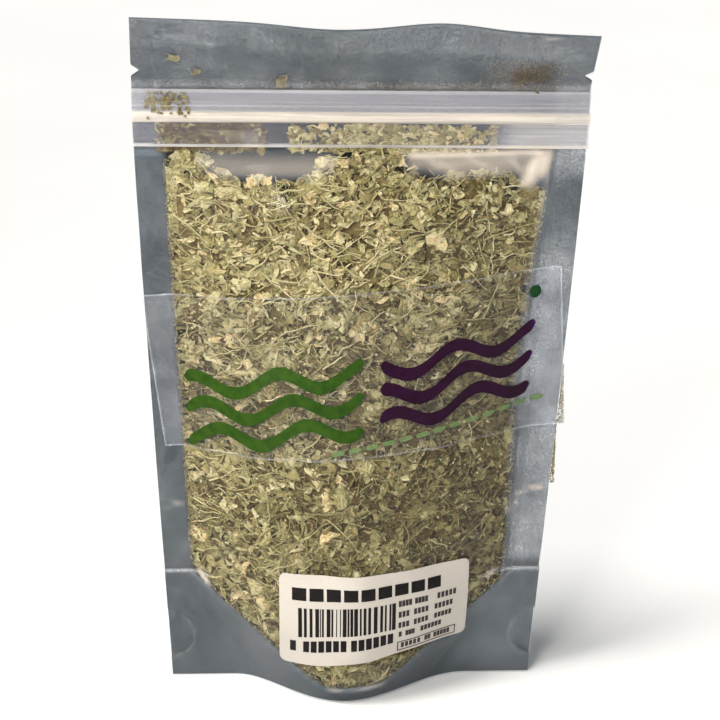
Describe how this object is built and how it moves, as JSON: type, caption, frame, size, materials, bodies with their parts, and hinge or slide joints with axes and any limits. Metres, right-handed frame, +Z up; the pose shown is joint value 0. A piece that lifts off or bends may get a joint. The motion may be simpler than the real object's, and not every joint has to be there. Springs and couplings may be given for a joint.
{
  "type": "stand-up pouch of dried coriander leaf",
  "caption": "Sealed stand-up pouch with a clear front, silver back, folded base gusset and press-zip, filled with crumbled dried coriander leaf and carrying clear and paper labels.",
  "frame": {"origin": "middle of the base, on the surface that the pouch stands on", "axes": "+Z up, the clear front faces -Y, X runs across the pouch"},
  "size_m": [0.13, 0.0502, 0.2041],
  "materials": {
    "clear_film": "clear glossy laminate film, slightly hazy, with seal lines and fine creases",
    "silver_film": "metallised plastic film, satin silver with soft creases",
    "zip_plastic": "milky translucent extruded plastic",
    "dried_leaf": "dry crumbled leaf, matte sage green to straw with brown flecks; matte_plastic stands in for dried leaf",
    "clear_label": "clear adhesive label with a plain printed band",
    "white_paper": "smooth white thermal paper with plain printed bars"
  },
  "bodies": {
    "root": {"front_film": "clear_film", "back_film": "silver_film", "bottom_gusset": "silver_film", "zip_groove_strip": "zip_plastic", "zip_rib_strip": "zip_plastic", "leaf_fill": "dried_leaf", "front_label": "clear_label", "back_label": "clear_label", "barcode_sticker": "white_paper"}
  },
  "joints": []
}
